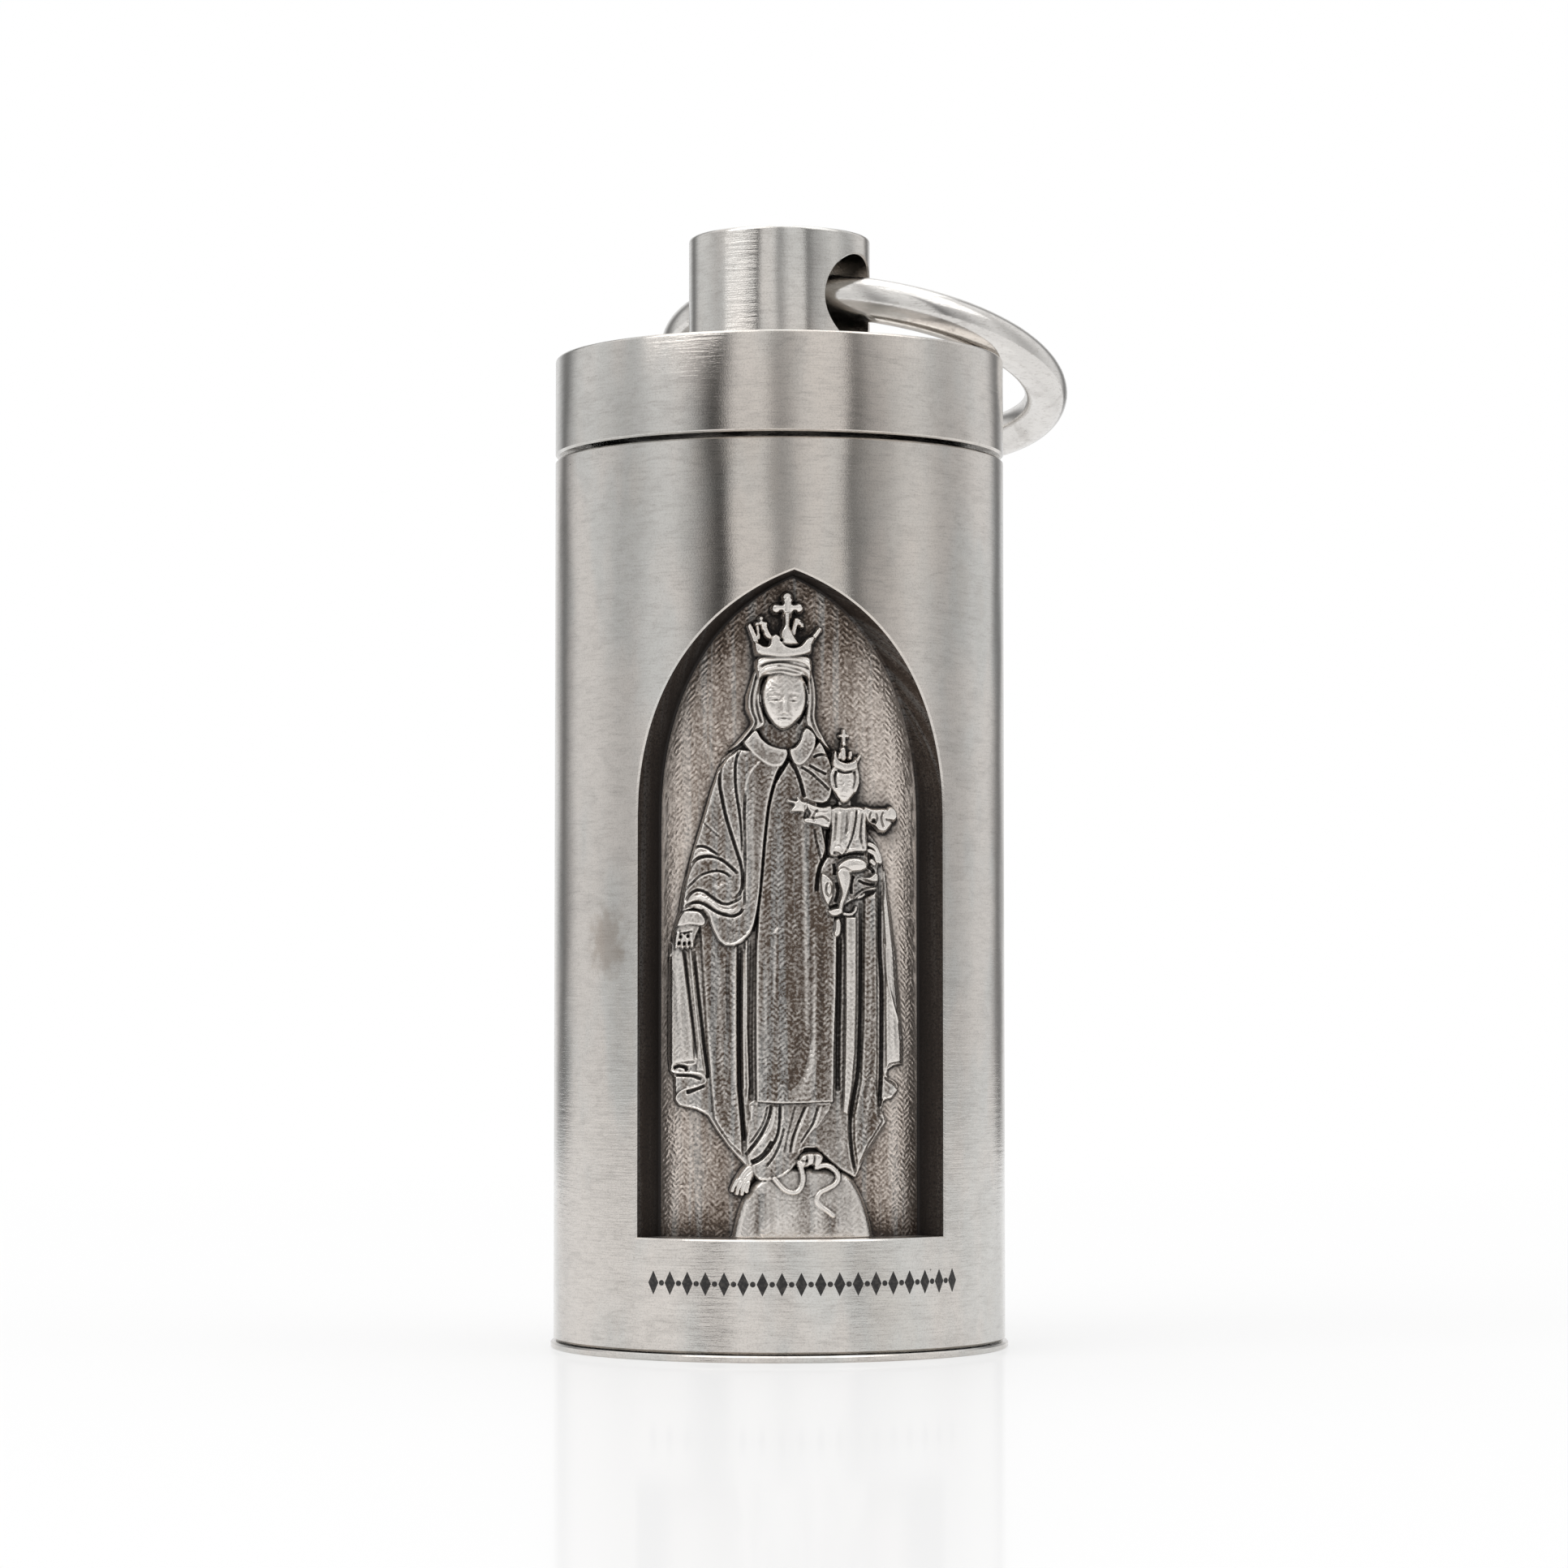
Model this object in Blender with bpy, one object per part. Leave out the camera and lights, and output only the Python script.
# Round metal pill case with a screw lid, a key ring and a carved niche in its front.
# Metres, +Z up. The origin is the middle of the flat underside, and -Y is the front.
import math

import bpy
import bmesh
import numpy as np
from mathutils import Matrix, Vector
from mathutils.geometry import delaunay_2d_cdt

mm = 0.001

# Tube of the case
body_radius = 10.0 * mm
body_wall = 2.5 * mm
tube_top = 39.3 * mm
edge_chamfer = 0.12 * mm

# Base disc, pressed into the bottom of the bore
base_flange_lip = 0.13 * mm
base_flange_height = 0.3 * mm
base_plug_length = 1.5 * mm
base_clearance = 0.05 * mm

# Screw thread between lid and case, right-handed, one start
thread_pitch = 1.0 * mm
thread_recess = 0.6 * mm
thread_depth = 0.55 * mm
thread_crest_width = 0.17 * mm
thread_clearance = 0.15 * mm
thread_sink = 0.1 * mm
thread_turns = 3.0
thread_end_turns = 1.0
thread_fade_turns = 0.25
thread_flank_slope = math.tan(math.radians(30))

# Sealing ring, in a groove under the lid and a counterbore in the case's mouth
seal_section_radius = 0.5 * mm
seal_clearance = 0.06 * mm
seal_step = 0.35 * mm

# Lid, as wide as the case, with a solid threaded spigot under it
lid_height = 4.35 * mm
lid_seam = 0.2 * mm
spigot_end_clearance = 0.5 * mm

# Boss on the lid, with its cross hole for the key ring
boss_radius = 4.05 * mm
boss_height = 5.5 * mm
boss_chamfer = 0.2 * mm
ring_hole_slack = 1.0 * mm
ring_hole_height = 2.535 * mm
ring_hole_turn = math.radians(56.7)

# Key ring, a closed ring of round wire that leans on the lid's rim
ring_radius = 8.5 * mm
ring_wire_radius = 1.0 * mm
ring_hole_clearance = 0.25 * mm
ring_hole_lift = 0.28 * mm
ring_rest_clearance = 0.04 * mm
lean_tolerance = math.radians(0.01)

# Niche, laid out on the tube's outer surface: a lancet arch on a straight-sided opening
niche_half_width = 7.3 * mm
niche_bottom = 5.1 * mm
niche_top_margin = 5.64 * mm
niche_rise = 10.46 * mm
niche_depth = 1.45 * mm
niche_columns = 28

# Relief in the niche. Its layout counts in modules, about a millimetre each here. The border
# (left, right, below the ledge, above the crown) keeps some room to the niche's side and point.
relief_border_shares = (-5.7, 5.3, -0.45, 27.9)
relief_border_columns = 12
relief_side_room_share = 0.54
relief_headroom_share = 0.66
relief_sink_share = 0.25
relief_back_share = 0.6
relief_edge_share = 0.2
relief_spacing_share = 0.9
relief_merge_share = 0.01

# Faces round each turned shape, and the angle from which an edge looks sharp
turn_steps = 72
hole_steps = 36
wire_steps = 14
seal_steps = 10
ring_steps = 60
thread_steps = 36
sharp_angle = math.radians(35)

# One overrun serves all cutters
overrun = 1.0 * mm

# Derived sizes and places, the case's mouth first and then down and up from it
bore_radius = body_radius - body_wall
tube_bottom = base_flange_height + base_clearance
lid_bottom = tube_top + lid_seam
lid_top = lid_bottom + lid_height
seal_land = lid_bottom - 2 * (seal_section_radius + seal_clearance)
spigot_bottom = seal_land - (thread_turns + thread_end_turns) * thread_pitch
thread_root_radius = bore_radius + thread_recess
male_root_radius = thread_root_radius - thread_depth - thread_clearance
male_crest_radius = thread_root_radius - thread_clearance
thread_half_root = thread_crest_width / 2 + (thread_depth + thread_sink) * thread_flank_slope
case_thread_start = seal_land - (thread_turns + thread_end_turns / 2) * thread_pitch
lid_thread_start = spigot_bottom + edge_chamfer + thread_half_root
lid_thread_end = seal_land - edge_chamfer - thread_half_root
mouth_bore_bottom = spigot_bottom - spigot_end_clearance
counterbore_radius = thread_root_radius + seal_step
seal_radius = counterbore_radius - seal_clearance - seal_section_radius
seal_groove_radius = seal_radius - seal_section_radius - seal_clearance
hole_level = lid_top + ring_hole_height
ring_hole_radius = ring_wire_radius + ring_hole_slack
floor_radius = body_radius - niche_depth
niche_wall = floor_radius - bore_radius
niche_turn = niche_half_width / body_radius
niche_apex = tube_top - niche_top_margin
niche_spring = niche_apex - niche_rise
relief_sink = niche_wall * relief_sink_share
relief_back_radius = floor_radius - niche_wall * relief_back_share
relief_module = (niche_apex - niche_bottom) / (relief_border_shares[3] + relief_headroom_share)
relief_module_turn = niche_turn / (relief_side_room_share - relief_border_shares[0])


# Relief layout, in shares of the module: across from the niche's middle, up from its ledge.
# Each row is a layer: its height off the floor, its dome and its outline.
globe_shares = [(-2.45, -0.25), (-2.3, 1.0), (-1.95, 1.8), (-1.45, 2.4), (-0.7, 2.9), (0.4, 3.1),
                (1.4, 2.95), (2.1, 2.6), (2.7, 1.9), (3.1, 1.0), (3.35, -0.25)]
mantle_shares = [(-2.9, 20.5), (-3.3, 19.2), (-3.75, 17.8), (-4.3, 16.2), (-4.65, 14.9), (-4.8, 14.0),
                 (-5.15, 13.2), (-5.2, 12.1), (-5.25, 7.3), (-3.6, 6.9), (-5.0, 6.1), (-4.8, 5.7),
                 (-3.9, 5.5), (-3.35, 5.1), (-2.9, 4.3), (-2.1, 3.4), (-1.5, 2.5), (0.2, 3.0),
                 (0.6, 3.9), (1.3, 3.9), (2.6, 2.5), (3.0, 3.7), (3.6, 4.5), (3.95, 5.0),
                 (3.75, 5.5), (3.9, 6.0), (4.6, 6.5), (3.95, 7.1), (4.8, 7.5), (4.75, 9.0),
                 (4.55, 11.0), (4.45, 12.5), (4.2, 14.3), (3.9, 15.8), (3.7, 16.7), (3.2, 17.0),
                 (1.5, 19.5), (1.45, 20.6), (0.9, 21.5)]
sleeve_shares = [(-0.3, 20.5), (-0.7, 19.5), (-1.0, 18.0), (-1.3, 15.0), (-1.45, 13.7), (-1.75, 12.8),
                 (-2.3, 12.4), (-2.8, 12.4), (-3.2, 13.0), (-3.55, 13.8), (-4.0, 14.05), (-4.7, 13.95),
                 (-4.55, 15.0), (-4.15, 16.6), (-3.75, 17.8), (-3.35, 19.2), (-2.9, 20.4), (-2.2, 20.9),
                 (-1.6, 20.6)]
hand_shares = [(-4.9, 13.8), (-5.2, 12.6), (-4.9, 12.4), (-4.1, 12.4), (-3.9, 12.9), (-3.6, 13.6),
               (-3.9, 14.1)]
panel_shares = [(-1.5, 5.85), (1.65, 5.8), (1.75, 12.0), (1.45, 16.0), (0.9, 19.0), (-0.2, 20.5),
                (-0.9, 18.5), (-1.3, 15.0), (-1.5, 12.0)]
skirt_shares = [(-1.5, 6.1), (1.4, 6.1), (0.6, 4.2), (0.2, 3.4), (-0.6, 2.5), (-1.5, 2.5), (-2.0, 3.4)]
foot_shares = [(-2.1, 3.3), (-2.5, 2.5), (-2.4, 2.0), (-2.1, 1.8), (-1.5, 2.4), (-1.6, 3.0)]
shoulder_shares = [(0.0, 20.4), (0.5, 19.0), (1.4, 18.6), (1.6, 19.8), (1.4, 20.6), (0.9, 21.3)]
collar_shares = [(-1.95, 21.2), (-1.4, 21.65), (-0.9, 21.1), (-0.25, 20.85), (0.2, 21.05), (0.45, 21.65),
                 (0.9, 21.4), (0.85, 20.8), (0.35, 20.15), (-0.25, 20.55), (-0.55, 20.05), (-1.1, 20.2),
                 (-1.65, 20.65)]
veil_shares = [(-1.55, 24.8), (-1.85, 23.2), (-1.6, 22.0), (-2.1, 21.3), (-2.5, 20.9), (-2.0, 20.7),
               (1.4, 20.6), (0.95, 21.8), (0.85, 23.5), (0.7, 24.3), (0.55, 24.8)]
crown_shares = [(-1.5, 24.75), (-1.6, 25.4), (-1.95, 26.3), (-1.65, 26.35), (-1.35, 25.7), (-1.45, 26.6),
                (-1.05, 26.6), (-0.95, 25.7), (-0.6, 25.7), (-0.45, 26.6), (-0.8, 27.0), (-0.2, 27.6),
                (0.3, 27.0), (-0.02, 26.6), (0.0, 25.7), (0.1, 26.5), (0.5, 26.3), (0.35, 25.6),
                (0.75, 25.6), (1.0, 26.15), (1.25, 25.9), (0.85, 25.2), (0.55, 24.75)]
child_shares = [(1.5, 18.4), (1.4, 16.5), (1.05, 15.6), (1.05, 14.7), (1.3, 14.0), (1.6, 13.8),
                (1.6, 12.85), (2.0, 12.85), (2.0, 13.7), (2.4, 14.5), (3.4, 15.0), (3.65, 15.3),
                (3.6, 15.8), (3.75, 16.4), (3.2, 16.9), (3.1, 17.6), (3.8, 17.3), (4.2, 17.5),
                (4.6, 18.0), (4.4, 18.45), (3.0, 18.4), (2.3, 18.6)]
child_arm_shares = [(1.6, 18.5), (0.6, 18.65), (0.1, 18.85), (-0.3, 18.6), (-0.1, 18.15), (0.4, 18.05),
                    (0.4, 17.65), (1.6, 17.5)]
child_crown_shares = [(1.6, 20.1), (1.6, 20.9), (1.9, 20.55), (2.1, 21.65), (2.3, 20.55), (2.65, 20.9),
                      (2.6, 20.1)]

# Heads are plain eggs: middle across, middle up, half width, half height
head_share = (-0.35, 23.15, 0.95, 1.5)
child_head_share = (2.1, 19.35, 0.58, 0.85)
egg_steps = 14


def egg_outline(egg_share):
    across, up, half_width, half_height = egg_share
    turns = [2 * math.pi * step / egg_steps for step in range(egg_steps)]
    return [(across + half_width * math.cos(turn), up + half_height * math.sin(turn)) for turn in turns]


# Layer rows: outline, height and extra height in the middle, as shares of the niche's depth
relief_layer_shares = [
    (globe_shares, 0.32, 0.28),
    (mantle_shares, 0.36, 0.06),
    (panel_shares, 0.46, 0.08),
    (skirt_shares, 0.42, 0.08),
    (sleeve_shares, 0.5, 0.12),
    (shoulder_shares, 0.48, 0.04),
    (foot_shares, 0.4, 0.1),
    (hand_shares, 0.48, 0.08),
    (veil_shares, 0.42, 0.1),
    (collar_shares, 0.6, 0.02),
    (crown_shares, 0.56, 0.06),
    (egg_outline(head_share), 0.5, 0.3),
    (child_shares, 0.6, 0.1),
    (child_arm_shares, 0.58, 0.08),
    (child_crown_shares, 0.6, 0.02),
    (egg_outline(child_head_share), 0.56, 0.24),
]


def clear_scene():
    for old in list(bpy.data.objects):
        bpy.data.objects.remove(old, do_unlink=True)


def metal(name, color, roughness):
    material = bpy.data.materials.new(name)
    material.use_nodes = True
    shader = material.node_tree.nodes["Principled BSDF"]
    shader.inputs["Base Color"].default_value = (*color, 1)
    shader.inputs["Metallic"].default_value = 1
    shader.inputs["Roughness"].default_value = roughness
    return material


def rubber(name, color, roughness):
    material = metal(name, color, roughness)
    material.node_tree.nodes["Principled BSDF"].inputs["Metallic"].default_value = 0
    return material


def add_object(name, bm, material=None):
    mesh = bpy.data.meshes.new(name)
    bm.to_mesh(mesh)
    bm.free()
    mesh.shade_smooth()
    mesh.set_sharp_from_angle(angle=sharp_angle)
    obj = bpy.data.objects.new(name, mesh)
    bpy.context.scene.collection.objects.link(obj)
    if material:
        mesh.materials.append(material)
    return obj


def as_helper(obj):
    obj.hide_render = True
    obj.display_type = 'WIRE'
    return obj


def boolean(target, tool, operation):
    modifier = target.modifiers.new(tool.name, 'BOOLEAN')
    modifier.operation = operation
    modifier.solver = 'EXACT'
    modifier.object = as_helper(tool)
    return modifier


# A closed profile of (radius, height) points turned round the Z axis. Points on the axis
# become one vertex each. The profile runs clockwise seen with the axis on its left.
def turned(profile, steps):
    bm = bmesh.new()
    rings = []
    for radius, height in profile:
        if radius == 0:
            rings.append([bm.verts.new((0, 0, height))])
            continue
        turns = [2 * math.pi * step / steps for step in range(steps)]
        rings.append([bm.verts.new((radius * math.cos(t), radius * math.sin(t), height)) for t in turns])
    for ring, following in zip(rings, rings[1:] + rings[:1]):
        for step in range(steps):
            after = (step + 1) % steps
            if len(ring) == 1 and len(following) == 1:
                continue
            if len(ring) == 1:
                bm.faces.new((ring[0], following[after], following[step]))
            elif len(following) == 1:
                bm.faces.new((ring[step], ring[after], following[0]))
            else:
                bm.faces.new((ring[step], ring[after], following[after], following[step]))
    bmesh.ops.recalc_face_normals(bm, faces=bm.faces)
    return bm


# A helical ridge of trapezoid section, sunk into the wall that carries it. It rises out of
# the wall over its first part turn and sinks back into it over its last.
def thread_ridge(wall_radius, crest_radius, start_height, start_turn, turns):
    bm = bmesh.new()
    outward = 1 if crest_radius > wall_radius else -1
    depth = abs(crest_radius - wall_radius)
    total = int(turns * thread_steps)
    fade = thread_fade_turns * thread_steps
    sections = []
    for step in range(total + 1):
        turn = start_turn + 2 * math.pi * step / thread_steps
        level = start_height + thread_pitch * step / thread_steps
        rise = min(1, step / fade, (total - step) / fade)
        reach = depth * rise - thread_sink * (1 - rise) / 2
        crest = wall_radius + outward * reach
        root = wall_radius - outward * thread_sink
        half_crest = thread_crest_width / 2 + (depth - reach) * thread_flank_slope / 2
        corners = [(root, -thread_half_root), (crest, -half_crest), (crest, half_crest),
                   (root, thread_half_root)]
        sections.append([bm.verts.new((radius * math.cos(turn), radius * math.sin(turn), level + lift))
                         for radius, lift in corners])
    for section, following in zip(sections, sections[1:]):
        for corner in range(4):
            after = (corner + 1) % 4
            bm.faces.new((section[corner], following[corner], following[after], section[after]))
    bm.faces.new(sections[0])
    bm.faces.new(list(reversed(sections[-1])))
    bmesh.ops.recalc_face_normals(bm, faces=bm.faces)
    return bm


def niche_top(across):
    # The arch's arcs are struck from beyond the middle, so they meet in a point
    centre = (niche_rise ** 2 - niche_half_width ** 2) / (2 * niche_half_width)
    arc_radius = niche_half_width + centre
    return niche_spring + math.sqrt(max(0, arc_radius ** 2 - (abs(across) + centre) ** 2))


def on_cylinder(radius, turn, height):
    return (radius * math.sin(turn), -radius * math.cos(turn), height)


# The niche's cutter: upright columns between the floor and a surface outside the tube
def niche_cutter():
    bm = bmesh.new()
    columns = []
    for index in range(niche_columns + 1):
        # Columns stand closer together where the arch is steep
        spread = math.sin(math.pi / 2 * (2 * index / niche_columns - 1))
        across = niche_half_width * spread
        turn = across / body_radius
        outside = body_radius + overrun
        corners = [(floor_radius, niche_bottom), (outside, niche_bottom),
                   (outside, niche_top(across)), (floor_radius, niche_top(across))]
        columns.append([bm.verts.new(on_cylinder(radius, turn, height)) for radius, height in corners])
    for column, following in zip(columns, columns[1:]):
        for corner in range(4):
            after = (corner + 1) % 4
            bm.faces.new((column[corner], following[corner], following[after], column[after]))
    bm.faces.new(columns[0])
    bm.faces.new(list(reversed(columns[-1])))
    bmesh.ops.recalc_face_normals(bm, faces=bm.faces)
    return add_object("niche_cutter", bm)


# Distance from each point to an outline, positive inside it
def depth_inside(points, outline):
    starts = np.array(outline)
    ends = np.roll(starts, -1, axis=0)
    nearest = np.full(len(points), np.inf)
    crossings = np.zeros(len(points), dtype=int)
    for start, end in zip(starts, ends):
        edge = end - start
        along = np.clip(((points - start) @ edge) / (edge @ edge), 0, 1)
        nearest = np.minimum(nearest, np.hypot(*(points - start - along[:, None] * edge).T))
        spans = (start[1] > points[:, 1]) != (end[1] > points[:, 1])
        if start[1] != end[1]:
            meets = start[0] + (points[:, 1] - start[1]) * edge[0] / edge[1]
            crossings += spans & (points[:, 0] < meets)
    return np.where(crossings % 2 == 1, nearest, -nearest)


def relief_height(points):
    height = np.full(len(points), -relief_sink)
    for outline, flat_share, dome_share in relief_layer_shares:
        inside = depth_inside(points, outline)
        widest = max(inside.max(), relief_edge_share)
        rise = np.clip(inside / relief_edge_share, -1, 1)
        dome = np.sqrt(np.clip(inside / widest, 0, 1))
        top = niche_depth * (flat_share * rise + dome_share * dome)
        height = np.maximum(height, np.where(inside > -relief_edge_share, top, -relief_sink))
    return np.maximum(height, -relief_sink)


def moved_inwards(outline, distance):
    moved = []
    for before, corner, after in zip(outline[-1:] + outline[:-1], outline, outline[1:] + outline[:1]):
        corner = Vector(corner)
        back = (corner - Vector(before)).normalized()
        onward = (Vector(after) - corner).normalized()
        normal = Vector((-back.y - onward.y, back.x + onward.x)).normalized()
        moved.append(corner + normal * distance)
    area = sum(a[0] * b[1] - b[0] * a[1] for a, b in zip(outline, outline[1:] + outline[:1]))
    if area < 0:
        return [2 * Vector(corner) - shifted for corner, shifted in zip(outline, moved)]
    return moved


# The carved figures as one closed block: a top that follows the layers, laid out flat and
# wrapped on the floor's radius, over a back that stays inside the wall
def relief_block():
    left, right, low, high = relief_border_shares
    step = (right - left) / relief_border_columns
    border = [(left + step * index, low) for index in range(relief_border_columns + 1)]
    border += [(across, high) for across, _ in reversed(border)]
    points = [Vector(corner) for corner in border]
    edges = [(index, (index + 1) % len(border)) for index in range(len(border))]
    for outline, _, _ in relief_layer_shares:
        for inset_share in (-relief_edge_share / 2, relief_edge_share):
            loop = moved_inwards(outline, inset_share)
            first = len(points)
            points += loop
            edges += [(first + index, first + (index + 1) % len(loop)) for index in range(len(loop))]
    for row in range(1, int((high - low) / relief_spacing_share)):
        for column in range(1, int((right - left) / relief_spacing_share)):
            shifted = column + (row % 2) / 2
            points.append(Vector((left + shifted * relief_spacing_share, low + row * relief_spacing_share)))
    flat, _, triangles, _, _, _ = delaunay_2d_cdt(points, edges, [], 0, relief_merge_share)
    flat = np.array([tuple(point) for point in flat])
    heights = relief_height(flat)
    inner_low, inner_high = low + relief_merge_share, high - relief_merge_share
    inner_left, inner_right = left + relief_merge_share, right - relief_merge_share
    on_border = ((flat[:, 0] <= inner_left) | (flat[:, 0] >= inner_right)
                 | (flat[:, 1] <= inner_low) | (flat[:, 1] >= inner_high))
    heights[on_border] = -relief_sink
    bm = bmesh.new()
    tops = [bm.verts.new(on_cylinder(floor_radius + height, across * relief_module_turn,
                                     niche_bottom + up * relief_module))
            for (across, up), height in zip(flat, heights)]
    for triangle in triangles:
        bm.faces.new([tops[index] for index in triangle])
    bmesh.ops.recalc_face_normals(bm, faces=bm.faces)
    rim = [edge for edge in bm.edges if edge.is_boundary]
    made = bmesh.ops.extrude_edge_only(bm, edges=rim)["geom"]
    lowered = [item for item in made if isinstance(item, bmesh.types.BMVert)]
    for vert in lowered:
        inwards = relief_back_radius / math.hypot(vert.co.x, vert.co.y)
        vert.co.x *= inwards
        vert.co.y *= inwards
    # The back is closed by upright faces between its bottom and its top edge
    middle = sum(vert.co.z for vert in lowered) / len(lowered)
    bottoms = sorted((vert for vert in lowered if vert.co.z < middle), key=lambda vert: vert.co.x)
    heads = sorted((vert for vert in lowered if vert.co.z > middle), key=lambda vert: vert.co.x)
    for index in range(len(bottoms) - 1):
        bm.faces.new((bottoms[index], bottoms[index + 1], heads[index + 1], heads[index]))
    bmesh.ops.recalc_face_normals(bm, faces=bm.faces)
    return add_object("relief_block", bm)


def case_body(material):
    profile = [
        (bore_radius, tube_bottom),
        (bore_radius, mouth_bore_bottom - thread_recess),
        (thread_root_radius, mouth_bore_bottom),
        (thread_root_radius, seal_land),
        (counterbore_radius, seal_land),
        (counterbore_radius, tube_top),
        (body_radius - edge_chamfer, tube_top),
        (body_radius, tube_top - edge_chamfer),
        (body_radius, tube_bottom + edge_chamfer),
        (body_radius - edge_chamfer, tube_bottom),
    ]
    body = add_object("case_body", turned(profile, turn_steps), material)
    crest_radius = thread_root_radius - thread_depth
    ridge = thread_ridge(thread_root_radius, crest_radius, case_thread_start, 0, thread_turns)
    boolean(body, niche_cutter(), 'DIFFERENCE')
    boolean(body, relief_block(), 'UNION')
    boolean(body, add_object("case_thread_ridge", ridge), 'UNION')
    return body


def base_disc(material):
    plug_radius = bore_radius - base_clearance
    flange_radius = body_radius + base_flange_lip
    plug_top = base_flange_height + base_plug_length
    profile = [
        (0, 0),
        (0, plug_top),
        (plug_radius - edge_chamfer, plug_top),
        (plug_radius, plug_top - edge_chamfer),
        (plug_radius, base_flange_height),
        (flange_radius, base_flange_height),
        (flange_radius, edge_chamfer / 2),
        (flange_radius - edge_chamfer / 2, 0),
    ]
    return add_object("base_disc", turned(profile, turn_steps), material)


def lid(material):
    boss_top = lid_top + boss_height
    profile = [
        (0, boss_top),
        (boss_radius - boss_chamfer, boss_top),
        (boss_radius, boss_top - boss_chamfer),
        (boss_radius, lid_top),
        (body_radius - edge_chamfer, lid_top),
        (body_radius, lid_top - edge_chamfer),
        (body_radius, lid_bottom + edge_chamfer),
        (body_radius - edge_chamfer, lid_bottom),
        (seal_groove_radius, lid_bottom),
        (seal_groove_radius, seal_land),
        (male_root_radius, seal_land),
        (male_root_radius, spigot_bottom + edge_chamfer),
        (male_root_radius - edge_chamfer, spigot_bottom),
        (0, spigot_bottom),
    ]
    body = add_object("lid", turned(profile, turn_steps), material)
    # The lid's ridge is turned to lie half a pitch from the case's
    start_turn = 2 * math.pi * ((lid_thread_start - case_thread_start) / thread_pitch - 0.5)
    turns = (lid_thread_end - lid_thread_start) / thread_pitch
    ridge = thread_ridge(male_root_radius, male_crest_radius, lid_thread_start, start_turn, turns)
    boolean(body, add_object("lid_thread_ridge", ridge), 'UNION')
    boolean(body, ring_hole_cutter(), 'DIFFERENCE')
    return body


def ring_hole_frame():
    # X runs along the hole, Z stays up
    return Matrix.Translation((0, 0, hole_level)) @ Matrix.Rotation(ring_hole_turn - math.pi / 2, 4, 'Z')


def ring_hole_cutter():
    reach = boss_radius + overrun
    bm = turned([(0, -reach), (0, reach), (ring_hole_radius, reach), (ring_hole_radius, -reach)], hole_steps)
    bmesh.ops.transform(bm, matrix=ring_hole_frame() @ Matrix.Rotation(math.pi / 2, 4, 'Y'), verts=bm.verts)
    return add_object("ring_hole_cutter", bm)


def torus(centre_radius, section_radius, steps, section_steps):
    turns = [2 * math.pi * step / section_steps for step in range(section_steps)]
    profile = [(centre_radius + section_radius * math.cos(t), -section_radius * math.sin(t)) for t in turns]
    return turned(profile, steps)


def lid_seal(material):
    middle = lid_bottom - seal_clearance - seal_section_radius
    bm = torus(seal_radius, seal_section_radius, turn_steps, seal_steps)
    bmesh.ops.translate(bm, vec=(0, 0, middle), verts=bm.verts)
    return add_object("lid_seal", bm, material)


# How far the ring's middle lies from the hole's axis. The wire bows across the hole, and the
# ring is set so far out that it keeps its clearance at the hole's two mouths.
def ring_reach():
    bow = ring_radius - math.sqrt(ring_radius ** 2 - boss_radius ** 2)
    room = math.sqrt((ring_hole_slack - ring_hole_clearance) ** 2 - ring_hole_lift ** 2)
    return ring_radius - bow + room


# How near the middle of the wire comes to the lid's top disc when the ring leans so far. The
# ring's own plane passes the hole's axis at the given lift.
def gap_to_lid(lean, lift):
    nearest = ring_hole_height
    for step in range(ring_steps):
        turn = 2 * math.pi * step / ring_steps
        along = ring_radius * math.sin(turn)
        out = ring_reach() + ring_radius * math.cos(turn)
        level = out * math.cos(lean) + lift * math.sin(lean)
        height = ring_hole_height - out * math.sin(lean) + lift * math.cos(lean)
        past_rim = max(0, math.hypot(along, level) - body_radius)
        nearest = min(nearest, math.hypot(past_rim, height))
    return nearest


# The lean at which the wire rests on the lid's rim, found by halving
def resting_lean(lift):
    low, high = 0, math.pi / 4
    while high - low > lean_tolerance:
        lean = (low + high) / 2
        if gap_to_lid(lean, lift) > ring_wire_radius + ring_rest_clearance:
            low = lean
        else:
            high = lean
    return low


# The key ring hangs from an empty on the hole's axis, which is the axis that it swings on.
# It leans back until its wire rests on the rim, and swings over to rest on the rim in front.
def key_ring(material):
    bm = torus(ring_radius, ring_wire_radius, ring_steps, wire_steps)
    bmesh.ops.translate(bm, vec=(0, ring_reach(), ring_hole_lift), verts=bm.verts)
    ring = add_object("key_ring", bm, material)
    pivot = bpy.data.objects.new("ring_pivot", None)
    bpy.context.scene.collection.objects.link(pivot)
    pivot.matrix_world = ring_hole_frame()
    ring.parent = pivot
    lean = resting_lean(ring_hole_lift)
    ring.rotation_euler = (-lean, 0, 0)
    swing = math.pi + lean + resting_lean(-ring_hole_lift)
    print("key ring leans", round(math.degrees(lean), 2), "degrees, swings", round(math.degrees(swing), 2))
    return ring


clear_scene()
case_body(metal("satin_steel", (0.62, 0.6, 0.56), 0.38))
base_disc(metal("base_steel", (0.6, 0.58, 0.55), 0.36))
lid(metal("lid_steel", (0.64, 0.62, 0.58), 0.36))
lid_seal(rubber("black_rubber", (0.02, 0.02, 0.02), 0.6))
key_ring(metal("bright_steel", (0.72, 0.71, 0.69), 0.16))
